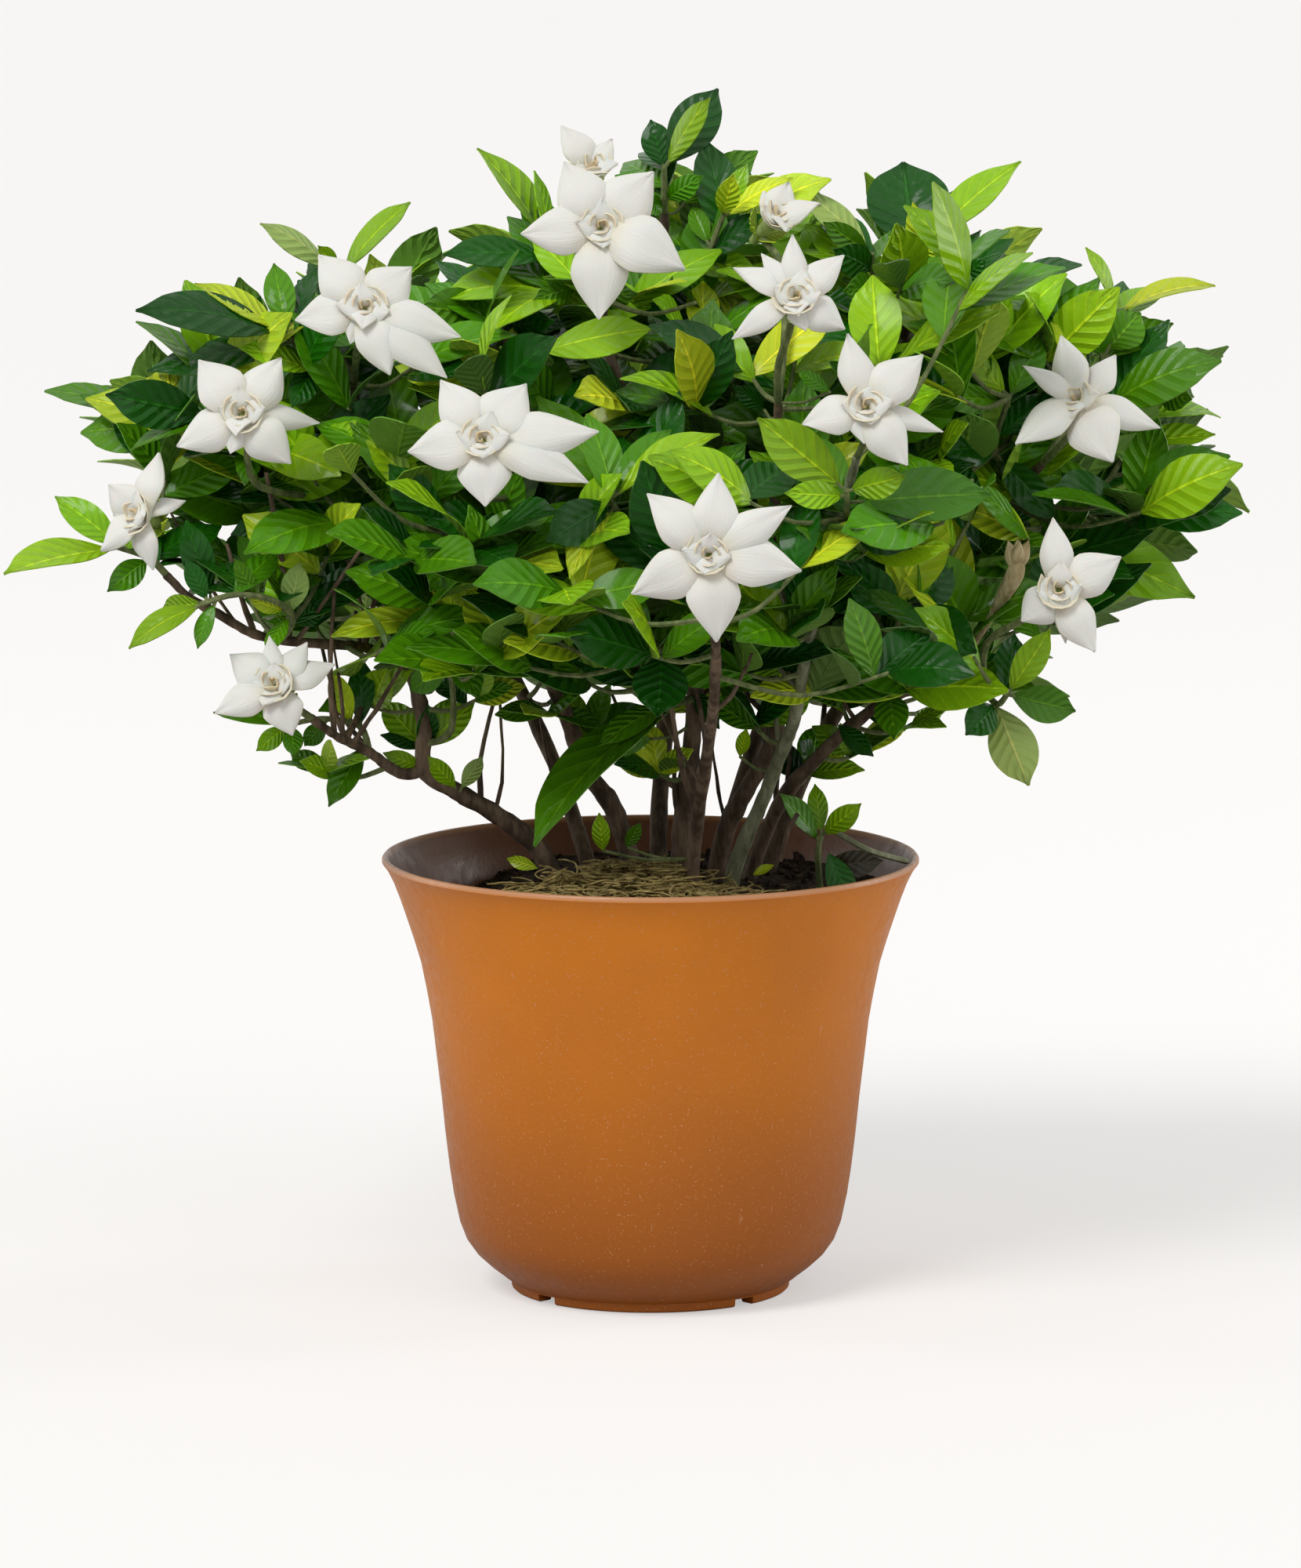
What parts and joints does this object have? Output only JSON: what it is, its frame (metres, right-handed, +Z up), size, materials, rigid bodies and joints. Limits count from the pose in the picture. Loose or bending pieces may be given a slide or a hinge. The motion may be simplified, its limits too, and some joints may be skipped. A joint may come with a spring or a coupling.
{
  "type": "potted gardenia",
  "caption": "Bushy flowering shrub with glossy pointed leaves and double white flowers, growing in a round tapered plastic nursery pot with potting mix and fibre mulch.",
  "frame": {"origin": "on the pot's axis at the plane that the foot stands on, under the middle of the whole plant's box", "axes": "+Z up along the pot's axis, +X to the right as seen from the front, -Y towards the viewer"},
  "size_m": [0.362, 0.2898, 0.3519],
  "materials": {
    "pot_plastic": "satin orange-brown moulded plastic, faintly speckled",
    "soil": "dark crumbly potting mix",
    "mulch_fibre": "curly olive-tan wood fibre",
    "dry_leaf": "dull dry olive-brown",
    "bark": "rough dark brown bark",
    "green_bark": "smooth grey-green bark",
    "petal": "soft warm white",
    "faded_petal": "withered ochre",
    "leaf": "glossy, quilted by the veins"
  },
  "bodies": {
    "root": {"bloom_behind": "petal", "bloom_crown": "petal", "bloom_far_left": "petal", "bloom_front": "petal", "bloom_hidden": "petal", "bloom_left": "petal", "bloom_left_top": "petal", "bloom_low_left": "petal", "bloom_low_right": "petal", "bloom_mid_left": "petal", "bloom_mid_right": "petal", "bloom_right": "petal", "bloom_right_top": "petal", "branch_far_left": "bark", "branch_low_left": "bark", "faded_bud": "faded_petal", "fallen_leaf": "dry_leaf", "mulch": "mulch_fibre", "pot": "pot_plastic", "pot_shoot": "leaf", "potting_mix": "soil", "shoot_arch_left": "leaf", "shoot_back_left": "leaf", "shoot_back_low": "leaf", "shoot_back_right": "leaf", "shoot_back_top": "leaf", "shoot_behind_left": "leaf", "shoot_centre": "leaf", "shoot_centre_right": "leaf", "shoot_curly": "leaf", "shoot_far_left": "leaf", "shoot_far_right": "leaf", "shoot_far_right_top": "leaf", "shoot_hanging": "leaf", "shoot_inner_right": "leaf", "shoot_left": "leaf", "shoot_left_top": "leaf", "shoot_low_centre": "leaf", "shoot_low_left": "leaf", "shoot_lower_right": "leaf", "shoot_mid_left": "leaf", "shoot_over_left": "leaf", "shoot_right_crest": "leaf", "shoot_right_mid": "leaf", "shoot_right_top": "leaf", "shoot_top": "leaf", "shoot_top_left": "leaf", "shoot_top_yellow": "leaf", "shoot_yellow": "leaf", "stem_back_left": "bark", "stem_centre": "bark", "stem_front": "bark", "stem_grey": "green_bark", "stem_left": "bark", "stem_low_right": "bark", "stem_mid_left": "bark", "stem_mid_right": "bark", "stem_right": "bark", "stem_top": "bark", "stem_top_right": "bark"}
  },
  "joints": []
}
